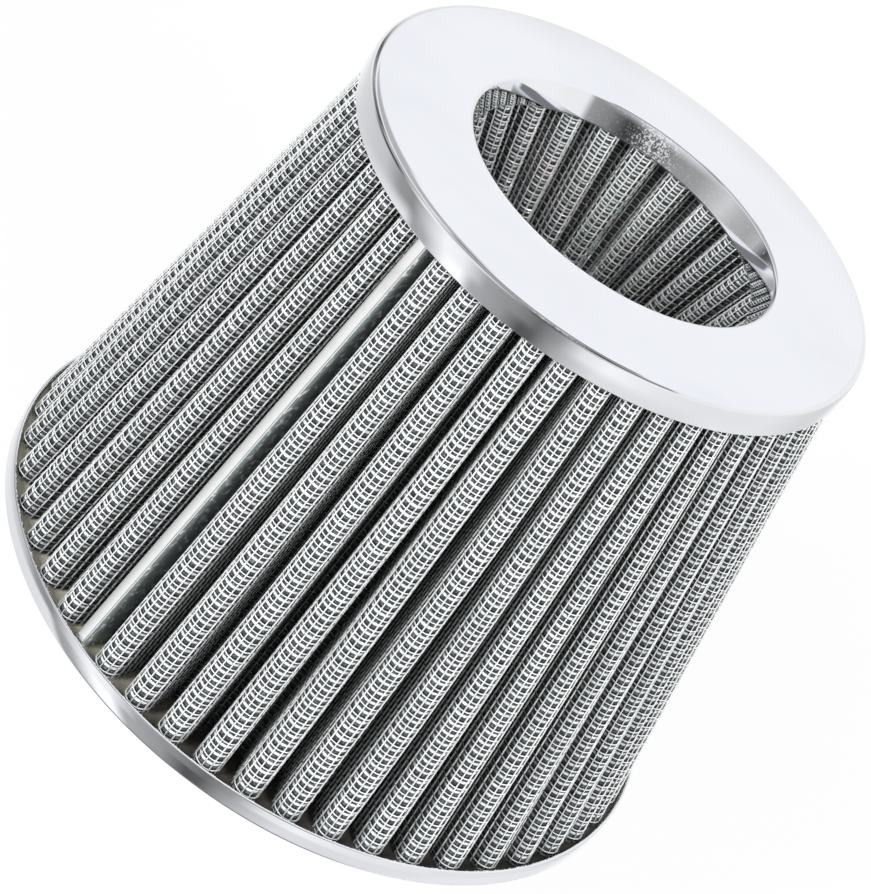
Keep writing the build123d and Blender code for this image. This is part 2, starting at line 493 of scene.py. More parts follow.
@dataclass(frozen=True)
class TinPlate:
    """Rolled bright plate of the seam strips, with fine lines along it and a dull film on its legs."""

    colour: Colour = (0.93, 0.935, 0.93)
    dull_colour: Colour = (0.80, 0.81, 0.80)
    film_colour: Colour = (0.19, 0.225, 0.218)
    metal: float = 0.95
    film_metal: float = 0.25
    polish: float = 0.16
    dullness: float = 0.38
    cloud: Mottle = Mottle(6.0, 4.0, 0.48, 0.75)
    cloud_share: float = 0.5
    scuff: Mottle = Mottle(1.4, 4.0, 0.52, 0.70)
    scuff_share: float = 0.7
    line_width_mm: float = 0.45
    line_stretch: float = 0.06
    line_share: float = 0.2
    line_mm: float = 0.006

    def material(self) -> bpy.types.Material:
        """Makes the finish.

        Returns:
            Its material.
        """
        material, shader = new_material("tin_plate")
        place = shader.position()
        stretch = (1.0, 1.0, self.line_stretch)
        drawn = shader.node("ShaderNodeMapping", None, {"Vector": place, "Scale": stretch})
        lines = shader.noise(drawn, self.line_width_mm)
        dull = (shader.mottle(place, self.cloud) * self.cloud_share + lines * self.line_share).clamped()
        film = shader.carried(FILM)
        scuffed = film * (1 - shader.mottle(place, self.scuff) * self.scuff_share)
        bright = shader.mix(dull, self.colour, self.dull_colour)
        shader.surface(
            {
                "Base Color": shader.mix(scuffed, bright, self.film_colour),
                "Metallic": self.metal - film * (self.metal - self.film_metal),
                "Roughness": dull * (self.dullness - self.polish) + self.polish,
                "Normal": shader.bump(lines, self.line_mm),
            }
        )
        return material


@dataclass(frozen=True)
class PressedSteel:
    """Plain pressed steel of the end cup, with drawing marks around its axis."""

    colour: Colour = (0.62, 0.63, 0.64)
    dark_colour: Colour = (0.42, 0.43, 0.44)
    polish: float = 0.28
    dullness: float = 0.5
    stain: Mottle = Mottle(8.0, 4.0, 0.45, 0.75)
    mark_width_mm: float = 0.5
    mark_mm: float = 0.02

    def material(self) -> bpy.types.Material:
        """Makes the finish.

        Returns:
            Its material.
        """
        material, shader = new_material("pressed_steel")
        place = shader.position()
        rings = shader.node("ShaderNodeCombineXYZ", None, {0: shader.length(place), 1: 0.0, 2: 0.0})
        marks = shader.noise(rings, self.mark_width_mm)
        stain = shader.mottle(place, self.stain)
        shader.surface(
            {
                "Base Color": shader.mix(stain, self.colour, self.dark_colour),
                "Metallic": 1.0,
                "Roughness": stain * (self.dullness - self.polish) + self.polish,
                "Normal": shader.bump(marks, self.mark_mm),
            }
        )
        return material


@dataclass(frozen=True)
class CastCompound:
    """Cast cream potting compound: satin, with small pits and slow waves in its face, and painted shade in
    front.
    """

    colour: Colour = (0.62, 0.59, 0.48)
    stain_colour: Colour = (0.47, 0.44, 0.35)
    # Painted shade on the front, where the pleats shade the compound.
    front_shade_colour: Colour = (0.035, 0.033, 0.03)
    gloss: float = 0.38
    dullness: float = 0.62
    wave_width_mm: float = 7.0
    wave_edge: Span = (0.4, 0.75)
    wave_share: float = 0.6
    pit: Mottle = Mottle(0.7, 2.0, 0.62, 0.78)
    pit_share: float = 0.4
    pit_depth: float = 0.3
    relief_mm: float = 0.12
    # Where the painted shade in front lies: its slant, its edge in metres, its waver and its strength.
    front_shade_slant: float = 0.6
    front_shade_edge_m: Span = (0.045, 0.08)
    front_shade_waver_m: float = 0.02
    front_shade_share: float = 0.95

    def material(self) -> bpy.types.Material:
        """Makes the finish.

        Returns:
            Its material.
        """
        material, shader = new_material("cast_compound")
        place = shader.position()
        wave = shader.noise(place, self.wave_width_mm)
        pits = shader.mottle(place, self.pit)
        stain = (wave.step(*self.wave_edge) * self.wave_share + pits * self.pit_share).clamped()
        # Painted shade on the front of the compound, on the camera's side.
        east, north, _ = shader.axes(place)
        forward = east * self.front_shade_slant - north + wave * self.front_shade_waver_m
        front_shade = forward.step(*self.front_shade_edge_m) * self.front_shade_share
        unshaded = shader.mix(stain, self.colour, self.stain_colour)
        shader.surface(
            {
                "Base Color": shader.mix(front_shade, unshaded, self.front_shade_colour),
                "Roughness": stain * (self.dullness - self.gloss) + self.gloss,
                "Normal": shader.bump(wave - pits * self.pit_depth, self.relief_mm),
            }
        )
        return material


@dataclass(frozen=True)
class MouldedRubber:
    """Matt black moulded rubber, with a fine grain and pale dust."""

    colour: Colour = (0.018, 0.018, 0.019)
    dust_and_shade_colour: Colour = (0.075, 0.075, 0.072)
    gloss: float = 0.45
    dullness: float = 0.8
    dust: Mottle = Mottle(11.0, 4.0, 0.5, 0.8)
    dust_and_shade_share: float = 0.7
    grain_width_mm: float = 0.55
    grain_share: float = 0.2
    grain_mm: float = 0.05

    def material(self) -> bpy.types.Material:
        """Makes the finish.

        Returns:
            Its material.
        """
        material, shader = new_material("moulded_rubber")
        place = shader.position()
        grain = shader.noise(place, self.grain_width_mm)
        dust = (shader.mottle(place, self.dust) * self.dust_and_shade_share + grain * self.grain_share).clamped()
        shader.surface(
            {
                "Base Color": shader.mix(dust, self.colour, self.dust_and_shade_colour),
                "Roughness": dust * (self.dullness - self.gloss) + self.gloss,
                "Normal": shader.bump(grain, self.grain_mm),
            }
        )
        return material


def new_mesh(name: str, points: np.ndarray, faces: list, crease: float = 40.0) -> bpy.types.Object:
    """Makes a smooth-shaded object.

    Args:
        name: The object's name.
        points: Its corners, in millimetres.
        faces: Corner numbers of each face.
        crease: Angle between faces, in degrees, above which their edge stays sharp.

    Returns:
        The object, linked into the scene.
    """
    mesh = bpy.data.meshes.new(name)
    mesh.from_pydata((points * MM).tolist(), [], faces)
    mesh.shade_smooth()
    mesh.set_sharp_from_angle(angle=radians(crease))
    made = bpy.data.objects.new(name, mesh)
    bpy.context.scene.collection.objects.link(made)
    return made


def carry(piece: bpy.types.Object, name: str, values: np.ndarray) -> None:
    """Lets a piece carry a number at each corner point, for its finish."""
    attribute = piece.data.attributes.new(name, "FLOAT", "POINT")
    attribute.data.foreach_set("value", values.astype(np.float32))


def fit(piece: bpy.types.Object, material: bpy.types.Material, slot: Slot, *nodes: str) -> None:
    """Dresses a piece and puts it on the frame.

    Args:
        piece: The piece.
        material: Its finish.
        slot: The record's slot for that finish.
        nodes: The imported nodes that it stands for.
    """
    piece.data.materials.append(material)
    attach(piece, ROOT)
    if nodes:
        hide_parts(*nodes)
    log.info("%s: %d faces, %s", piece.name, len(piece.data.polygons), slot.value)


class Corner(NamedTuple):
    """Corner of a turned profile, with the radius of its rounding."""

    radius: float
    height: float
    rounding: float = 0.0


def rounded(corners: list[Corner], steps: int = 7) -> np.ndarray:
    """Rounds the corners of a closed profile.

    Args:
        corners: The corners, in order.
        steps: Flats in each rounding.

    Returns:
        The outline's points, as radius and height.
    """
    outline = []
    for place, corner in enumerate(corners):
        here = np.array(corner[:2])
        back = np.array(corners[place - 1][:2]) - here
        ahead = np.array(corners[(place + 1) % len(corners)][:2]) - here
        if corner.rounding == 0:
            outline.append(here)
            continue
        back /= np.linalg.norm(back)
        ahead /= np.linalg.norm(ahead)
        half = acos(np.clip(back @ ahead, -1, 1)) / 2
        reach = corner.rounding / tan(half)
        middle = here + (back + ahead) / np.linalg.norm(back + ahead) * corner.rounding / sin(half)
        first = here + back * reach - middle
        turn = (pi - 2 * half) * (1 if back[1] * ahead[0] - back[0] * ahead[1] > 0 else -1)
        for step in range(steps + 1):
            angle = turn * step / steps
            out = first[0] * cos(angle) - first[1] * sin(angle)
            rise = first[0] * sin(angle) + first[1] * cos(angle)
            outline.append(middle + (out, rise))
    return np.array(outline)


def turned(name: str, corners: list[Corner], segments: int = 288) -> bpy.types.Object:
    """Turns a closed profile about the filter's axis.

    Args:
        name: The object's name.
        corners: The profile's corners, in order; a pair at radius 0 closes a disc.
        segments: Steps around the axis.

    Returns:
        The object.
    """
    outline = rounded(corners)
    spokes = np.arange(segments) * 2 * pi / segments
    points: list[tuple] = []
    rings: list[list[int]] = []
    for radius, height in outline:
        if radius < 1e-6:
            rings.append([len(points)] * segments)
            points.append((0.0, 0.0, height))
        else:
            rings.append(list(range(len(points), len(points) + segments)))
            points += [(radius * cos(spoke), radius * sin(spoke), height) for spoke in spokes]
    faces = []
    for low, high in zip(rings, rings[1:] + rings[:1]):
        if low[0] == low[1] and high[0] == high[1]:
            continue
        for step in range(segments):
            ahead = (step + 1) % segments
            face = [low[step], low[ahead], high[ahead], high[step]]
            faces.append(list(dict.fromkeys(face)))
    return new_mesh(name, np.array(points), faces)


def tubes(lines: np.ndarray, normals: np.ndarray, radius: float, closed: bool) -> tuple[np.ndarray, list]:
    """Three-sided wires along lines of points.

    Args:
        lines: Middle points of each wire, wires by points by axes.
        normals: Directions away from the cloth at those points.
        radius: Radius of the wire.
        closed: Whether each wire is a ring.

    Returns:
        The corners and the faces of all wires.
    """
    wires, count = lines.shape[:2]
    if closed:
        ahead, behind = np.roll(lines, -1, 1), np.roll(lines, 1, 1)
    else:
        ahead = np.concatenate([lines[:, 1:], lines[:, -1:]], 1)
        behind = np.concatenate([lines[:, :1], lines[:, :-1]], 1)
    run = ahead - behind
    run /= np.linalg.norm(run, axis=2, keepdims=True)
    side = np.cross(run, normals)
    side /= np.linalg.norm(side, axis=2, keepdims=True)
    out = np.cross(side, run)
    angles = (0, 2 * pi / 3, 4 * pi / 3)
    corners = [lines + radius * (cos(angle) * out + sin(angle) * side) for angle in angles]
    points = np.stack(corners, 2).reshape(-1, 3)
    number = np.arange(wires * count * 3).reshape(wires, count, 3)
    here = number if closed else number[:, :-1]
    there = np.roll(number, -1, 1) if closed else number[:, 1:]
    walls = []
    for near, far in ((0, 1), (1, 2), (2, 0)):
        quads = np.stack([here[..., near], here[..., far], there[..., far], there[..., near]], -1)
        walls.append(quads.reshape(-1, 4))
    faces = np.concatenate(walls).tolist()
    if not closed:
        faces += number[:, 0, ::-1].tolist() + number[:, -1].tolist()
    return points, faces


class Fold(NamedTuple):
    """One bend of a pack: side is 1 where it bulges away from the axis and -1 where towards it."""

    azimuth: float
    centre: float
    bend: float
    side: int

    def middle(self) -> complex:
        """Centre of the bend, in the plane."""
        return self.centre * np.exp(1j * radians(self.azimuth))


def flank(start: Fold, start_bend: float, end: Fold, end_bend: float) -> tuple[complex, complex]:
    """Ends of the straight wall between two bends.

    Args:
        start: The first bend.
        start_bend: Its radius on this face of the wall.
        end: The next bend.
        end_bend: Its radius on this face.

    Returns:
        The wall's ends, tangent to both bends.
    """
    run = end.middle() - start.middle()
    swing = acos((start_bend + end_bend) / abs(run))
    normal = run / abs(run) * np.exp(-1j * start.side * swing)
    return start.middle() + normal * start_bend, end.middle() - normal * end_bend


def between(values: np.ndarray, places: np.ndarray) -> np.ndarray:
    """Values at places between their numbers.

    Args:
        values: Real or complex values.
        places: Places, counted in values.

    Returns:
        The values there.
    """
    return np.interp(places, np.arange(len(values)), values)


class Drift(NamedTuple):
    """Slow drift of hand-set pleats around an azimuth, within a reach, at foot and top; all in degrees."""

    azimuth: float
    reach: float
    low: float
    high: float


def drifted(flat: np.ndarray, shares: np.ndarray, drifts: tuple[Drift, ...]) -> np.ndarray:
    """Turns points about the axis by the drift of the pleats there.

    Args:
        flat: The points in the plane, as complex numbers.
        shares: Their shares of the height.
        drifts: The drifts, which add up.

    Returns:
        The turned points.
    """
    turn = np.zeros(flat.shape)
    azimuths = np.degrees(np.angle(flat))
    for drift in drifts:
        gap = (azimuths - drift.azimuth + 180) % 360 - 180
        turn += np.exp(-((gap / drift.reach) ** 2)) * (drift.low + (drift.high - drift.low) * shares)
    return flat * np.exp(1j * np.radians(turn))


# Low and high edge of a sheet, as closed outlines
Edges = tuple[np.ndarray, np.ndarray]


@dataclass
class PleatedPack:
    """A wall of gauze, folded into pleats, with woven wire cloth on the face that the air enters.

    A share of the height is 0 at the pack's foot and 1 at its top. The insets of the gauze and the wires
    lie below the face with the cloth. Where the strength of the painted shade is higher, it darkens the
    folds sooner with depth.
    """

    name: str
    node: str
    facing: Facing
    low_z: float
    high_z: float
    low_ridge: float
    high_ridge: float
    wide_depth: float
    pleats: int
    seam_azimuth: float
    seam_gap: float
    wall: float = 1.0
    ridge_share: float = 0.52
    root_share: float = 0.38
    seam_bend: float = 1.02
    seam_inset: float = 0.5
    bend_steps: int = 10
    rows: int = 20
    media_inset: float = 0.36
    lengthways_inset: float = 0.12
    crossways_inset: float = 0.07
    lengthways_radius: float = 0.21
    crossways_radius: float = 0.18
    lengthways_pitch: float = 1.55
    crossways_pitch: float = 2.5
    waver: float = 0.035
    unevenness: float = 0.35
    # Strength of the painted shade in the folds, for the gauze and for each set of wires.
    media_fold_shade: float = 1.5
    lengthways_fold_shade: float = 0.35
    crossways_fold_shade: float = 1.6
    media_crease: float = 60.0
    wire_crease: float = 180.0
    drifts: tuple[Drift, ...] = ()

    @property
    def side(self) -> int:
        """1 where the ridges point away from the axis, -1 where towards it."""
        return self.facing.value

    def ridge(self, share: float) -> float:
        """Reach of the ridges at a share of the pack's height."""
        return self.low_ridge + (self.high_ridge - self.low_ridge) * share

    def depth(self, share: float) -> float:
        """Works out the folds' depth, which narrows with the cone as the middle of the wall does.

        Args:
            share: Share of the pack's height.

        Returns:
            The depth.
        """
        half_wall = self.side * self.wall / 2
        wide = max(self.low_ridge, self.high_ridge) - half_wall
        return self.wall + (self.wide_depth - self.wall) * (self.ridge(share) - half_wall) / wide

    def folds(self, share: float) -> list[Fold]:
        """Sets out the folds at one height.

        Args:
            share: Share of the pack's height.

        Returns:
            All folds in order, from the seam round to the seam.
        """
        ridge, depth, side = self.ridge(share), self.depth(share), self.side
        pitch = (360 - self.seam_gap) / (self.pleats - 1)
        half_pitch = radians(pitch) / 2
        ridge_bend = self.ridge_share * (ridge - side * self.wall / 2) * half_pitch + self.wall / 2
        root_reach = ridge - side * (depth - self.wall / 2)
        root_bend = self.root_share * root_reach * half_pitch + self.wall / 2
        ridge_centre = ridge - side * ridge_bend
        root_centre = ridge - side * (depth - root_bend)
        seam_centre = ridge - side * (self.seam_inset + self.seam_bend)
        seam_flank = degrees(asin((self.seam_bend + root_bend - self.wall) / root_centre))
        folds = [Fold(self.seam_azimuth, seam_centre, self.seam_bend, side)]
        folds.append(Fold(self.seam_azimuth + seam_flank, root_centre, root_bend, -side))
        for step in range(self.pleats):
            azimuth = self.seam_azimuth + self.seam_gap / 2 + step * pitch
            folds.append(Fold(azimuth, ridge_centre, ridge_bend, side))
            if step < self.pleats - 1:
                folds.append(Fold(azimuth + pitch / 2, root_centre, root_bend, -side))
        folds.append(Fold(self.seam_azimuth - seam_flank, root_centre, root_bend, -side))
        return folds

    def outline(self, share: float, inset: float) -> np.ndarray:
        """Closed outline of the wall at one height.

        Args:
            share: Share of the pack's height.
            inset: Depth below the face that lies away from the axis.

        Returns:
            The outline's points in the plane, as complex numbers.
        """
        folds = self.folds(share)
        bends = [fold.bend - (inset if fold.side > 0 else self.wall - inset) for fold in folds]
        walls = [
            flank(fold, bend, folds[(k + 1) % len(folds)], bends[(k + 1) % len(folds)])
            for k, (fold, bend) in enumerate(zip(folds, bends))
        ]
        points = []
        for k, fold in enumerate(folds):
            arrival, departure = walls[k - 1][1] - fold.middle(), walls[k][0] - fold.middle()
            turn = (fold.side * np.angle(departure / arrival)) % (2 * pi)
            steps = np.linspace(0, 1, self.bend_steps + 1)
            points.append(fold.middle() + arrival * np.exp(1j * fold.side * turn * steps))
        return np.concatenate(points)

    def sheet(self, inset: float) -> Edges:
        """Sets out a sheet within the wall.

        Args:
            inset: Depth below the face that lies away from the axis.

        Returns:
            The sheet's low and high edge, as closed outlines.
        """
        edges = []
        for share in (0.0, 1.0):
            edge = self.outline(share, inset)
            edges.append(np.append(edge, edge[0]))
        return edges[0], edges[1]

    def face_inset(self, depth: float) -> float:
        """Inset from the outward face of a sheet that lies at a depth below the face with the cloth."""
        return depth if self.side > 0 else self.wall - depth

    def place(self, edges: Edges, along: np.ndarray, shares: np.ndarray) -> np.ndarray:
        """Points of a sheet, with the slight unevenness of hand-set pleats.

        Args:
            edges: The sheet's low and high edge.
            along: Places along the edges, as numbers of their points.
            shares: Shares of the height, rows by one or rows by places.

        Returns:
            The points, rows by places by axes, in millimetres.
        """
        low, high = (between(edge, along) for edge in edges)
        flat = low + (high - low) * shares
        bow, sway = (between(shift, along) for shift in self._unevenness())
        nudge = bow * np.sin(pi * shares) + sway * np.sin(2 * pi * shares)
        flat = drifted(flat * np.exp(1j * nudge / np.abs(flat)), shares, self.drifts)
        height = np.broadcast_to(self.low_z + (self.high_z - self.low_z) * shares, flat.shape)
        return np.stack([flat.real, flat.imag, height], -1)

    def _unevenness(self) -> list[np.ndarray]:
        """Draws sideways shifts for the ridges; the roots share them, and there are none at the seam.

        Returns:
            The bow and the sway of the outline's points.
        """
        draw = np.random.default_rng(self.pleats)
        shifts = []
        for reach in (self.unevenness, self.unevenness / 2):
            ridges = draw.uniform(-reach, reach, self.pleats + 1)
            ridges[0] = 0
            roots = (ridges + np.roll(ridges, -1)) / 2
            roots[[0, -1]] = 0
            folds = np.stack([ridges, roots], 1).ravel()
            shifts.append(np.append(np.repeat(folds, self.bend_steps + 1), 0.0))
        return shifts

    def lengths(self, edges: Edges) -> np.ndarray:
        """Distance along a sheet at half height, point by point."""
        middle = (edges[0] + edges[1]) / 2
        return np.append(0.0, np.cumsum(np.abs(np.diff(middle))))

    def outward(self, edges: Edges, along: np.ndarray) -> np.ndarray:
        """Finds the level directions away from the face with the cloth.

        Args:
            edges: A sheet's low and high edge.
            along: Places along the edges, as numbers of their points.

        Returns:
            The directions, place by place.
        """
        middle = (edges[0] + edges[1]) / 2
        run = np.roll(middle[:-1], -1) - np.roll(middle[:-1], 1)
        away = -1j * self.side * between(np.append(run, run[0]), along)
        away /= np.abs(away)
        return np.stack([away.real, away.imag, np.zeros(len(along))], -1)

    def cells(self) -> tuple[int, int]:
        """Counts the cells of the wire cloth.

        Returns:
            The cells around the pack and the cells along it.
        """
        around = self.lengths(self.sheet(self.face_inset(self.lengthways_inset)))[-1]
        slant = hypot(self.high_z - self.low_z, self.high_ridge - self.low_ridge)
        return round(around / self.lengthways_pitch), round(slant / self.crossways_pitch)

    def build_media(self) -> bpy.types.Object:
        """Makes the folded wall of gauze, closed at its ends.

        Returns:
            The wall, which carries its place in the cells of the cloth.
        """
        shares = np.linspace(0, 1, self.rows + 1)
        around, along = self.cells()
        lengths = self.lengths(self.sheet(self.face_inset(self.lengthways_inset)))
        across = lengths / lengths[-1] * around
        points, faces, cloth = [], [], []
        columns = len(lengths) - 1
        for layer, depth in enumerate((self.media_inset, self.wall)):
            sheet = self.sheet(self.face_inset(depth))
            points.append(self.place(sheet, np.arange(columns), shares[:, None]).reshape(-1, 3))
            start = layer * (self.rows + 1) * columns
            flip = (layer == 0) == (self.side < 0)
            for row in range(self.rows):
                for column in range(columns):
                    face = [(row, column), (row, column + 1), (row + 1, column + 1), (row + 1, column)]
                    face = face[::-1] if flip else face
                    faces.append([start + r * columns + c % columns for r, c in face])
                    cloth += [(across[c], shares[r] * along - 0.5, layer) for r, c in face]
        back = (self.rows + 1) * columns
        for row, flip in ((0, self.side > 0), (self.rows, self.side < 0)):
            for column in range(columns):
                near, ahead = row * columns + column, row * columns + (column + 1) % columns
                face = [near, ahead, back + ahead, back + near]
                faces.append(face[::-1] if flip else face)
                cloth += [(0.5, 0.5, 0.0)] * 4
        media = new_mesh(f"{self.name}_media", np.concatenate(points), faces, self.media_crease)
        attribute = media.data.attributes.new(CLOTH, "FLOAT_VECTOR", "CORNER")
        attribute.data.foreach_set("vector", np.array(cloth, np.float32).ravel())
        self.mark_depth(media, np.concatenate(points), self.media_fold_shade)
        return media

    def mark_depth(self, piece: bpy.types.Object, points: np.ndarray, dust: float) -> None:
        """Gives a piece of the pack its painted shade, which grows with its depth in the folds.

        Args:
            piece: The piece.
            points: Its corners, in millimetres.
            dust: Strength of the painted shade in the roots, where 1 is full.
        """
        share = (points[:, 2] - self.low_z) / (self.high_z - self.low_z)
        below = self.side * (self.ridge(share) - np.hypot(points[:, 0], points[:, 1]))
        sunk = np.clip(below / self.depth(share) * dust, 0, 1)
        carry(piece, SUNK, sunk)

    def build_cloth(self) -> list[bpy.types.Object]:
        """Makes the wire cloth: wires along the pleats, and wires across that follow the folds around.

        Returns:
            The lengthways wires and the two halves of the crossways wires.
        """
        around, along = self.cells()
        draw = np.random.default_rng(self.pleats + 1)
        sheet = self.sheet(self.face_inset(self.lengthways_inset))
        lengths = self.lengths(sheet)
        steps = np.arange(around) + draw.uniform(0, self.waver, around)
        spots = np.interp(steps * lengths[-1] / around, lengths, np.arange(len(lengths)))
        shares = np.linspace(0, 1, self.rows + 1)[:, None]
        lines = self.place(sheet, spots, shares).transpose(1, 0, 2)
        ways = np.broadcast_to(self.outward(sheet, spots)[:, None], lines.shape)
        pieces = [("lengthways_wire", lines, ways, self.lengthways_radius, self.lengthways_fold_shade)]
        sheet = self.sheet(self.face_inset(self.crossways_inset))
        spots = np.arange(len(lengths) - 1)
        wave = np.zeros((along, len(spots)))
        for ripples in (self.pleats // 3, self.pleats, 2 * self.pleats):
            phase = draw.uniform(0, 2 * pi, (along, 1))
            wave += self.waver * np.sin(2 * pi * ripples * spots / len(spots) + phase)
        lines = self.place(sheet, spots, (np.arange(along)[:, None] + 0.5 + wave) / along)
        ways = np.broadcast_to(self.outward(sheet, spots)[None], lines.shape)
        half = along // 2
        for name, part in (("lower_cross_wire", slice(half)), ("upper_cross_wire", slice(half, None))):
            pieces.append((name, lines[part], ways[part], self.crossways_radius, self.crossways_fold_shade))
        made = []
        # Each piece takes painted shade with its depth in the folds.
        for name, lines, ways, radius, dust in pieces:
            points, faces = tubes(lines, ways, radius, name != "lengthways_wire")
            piece = new_mesh(f"{self.name}_{name}", points, faces, self.wire_crease)
            self.mark_depth(piece, points, dust)
            made.append(piece)
        return made

    def dress(self, media: bpy.types.Material, wire: bpy.types.Material) -> None:
        """Builds the pack and puts its finishes on.

        Args:
            media: Finish of the gauze.
            wire: Finish of the cloth.
        """
        fit(self.build_media(), media, Slot.PACK, self.node)
        for cloth in self.build_cloth():
            fit(cloth, wire, Slot.PACK)


@dataclass
class SeamStrip:
    """Folded metal strip over the two ends of a pack, crimped at even steps; its legs carry a film."""

    name: str
    node: str
    facing: Facing
    azimuth: float
    low_z: float
    high_z: float
    low_reach: float
    high_reach: float
    depth: float
    sheet: float = 0.4
    width: float = 2.6
    rounding: float = 0.45
    crimp_pitch: float = 20.0
    crimp_radius: float = 1.3
    crimp_dent: float = 0.14
    film_start: float = 0.15
    film_blend: float = 0.15
    row_step: float = 0.5
    leg_steps: int = 14
    bend_steps: int = 5
    drifts: tuple[Drift, ...] = ()

    def section(self) -> tuple[np.ndarray, np.ndarray]:
        """Sets out the strip's section.

        Returns:
            Distances in from the strip's back and to one side, for each point of the outline.
        """
        half, legs = self.width / 2, np.linspace(0, 1, self.leg_steps + 1)
        turn = np.linspace(0, pi / 2, self.bend_steps + 1)
        loops = []
        for inset in (0.0, self.sheet):
            bend = self.rounding - inset
            edge, back = half - inset, inset
            inward = back + bend + (self.depth - back - bend) * legs[::-1]
            leg = np.stack([inward, np.full_like(legs, edge)], 1)
            arc = np.stack([back + bend * (1 - np.sin(turn)), edge - bend * (1 - np.cos(turn))], 1)
            right = np.concatenate([leg, arc[1:]])
            left = right[::-1] * (1, -1)
            loops.append(np.concatenate([right, left]))
        loop = np.concatenate([loops[0], loops[1][::-1]])
        return loop[:, 0], loop[:, 1]

    def dents(self, heights: np.ndarray, inward: np.ndarray) -> np.ndarray:
        """Works out how deep the crimps are.

        Args:
            heights: Heights along the strip.
            inward: Distances in from the strip's back.

        Returns:
            The depth, heights by distances.
        """
        count = int((self.high_z - self.low_z) / self.crimp_pitch)
        first = (self.low_z + self.high_z - (count - 1) * self.crimp_pitch) / 2
        dent = np.zeros((len(heights), len(inward)))
        for step in range(count):
            rise = (heights - first - step * self.crimp_pitch)[:, None]
            gap = np.hypot(rise, (inward - self.depth / 2)[None]) / self.crimp_radius
            dent += self.crimp_dent * np.clip(1 - gap**2, 0, None) ** 2
        return dent

    def build(self) -> bpy.types.Object:
        """Makes the strip.

        Returns:
            The strip, which carries the film on its legs.
        """
        side = self.facing.value
        inward, sideways = self.section()
        rows = max(2, int((self.high_z - self.low_z) / self.row_step))
        shares = np.linspace(0, 1, rows + 1)
        heights = self.low_z + (self.high_z - self.low_z) * shares
        reach = self.low_reach + (self.high_reach - self.low_reach) * shares
        dent = self.dents(heights, inward) * np.sign(sideways)[None]
        radial = reach[:, None] - side * inward[None]
        flat = (radial + 1j * (sideways[None] - dent)) * np.exp(1j * radians(self.azimuth))
        flat = drifted(flat, shares[:, None], self.drifts)
        points = np.stack([flat.real, flat.imag, np.broadcast_to(heights[:, None], flat.shape)], -1)
        count = len(inward)
        number = np.arange(points.shape[0] * count).reshape(-1, count)
        ahead = np.roll(number, -1, 1)
        walls = np.stack([number[:-1], number[1:], ahead[1:], ahead[:-1]], -1).reshape(-1, 4)
        faces = (walls if side > 0 else walls[:, ::-1]).tolist()
        half = count // 2
        for row, flip in ((0, side < 0), (rows, side > 0)):
            for step in range(half - 1):
                places = (step, step + 1, count - 2 - step, count - 1 - step)
                face = [int(number[row, place]) for place in places]
                faces.append(face[::-1] if flip else face)
        strip = new_mesh(self.name, points.reshape(-1, 3), faces)
        film = np.clip((inward - self.film_start) / self.film_blend, 0, 1)
        carry(strip, FILM, np.tile(film, rows + 1))
        return strip

    def dress(self, material: bpy.types.Material) -> None:
        """Builds the strip and puts its finish on."""
        fit(self.build(), material, Slot.SEAM, self.node)


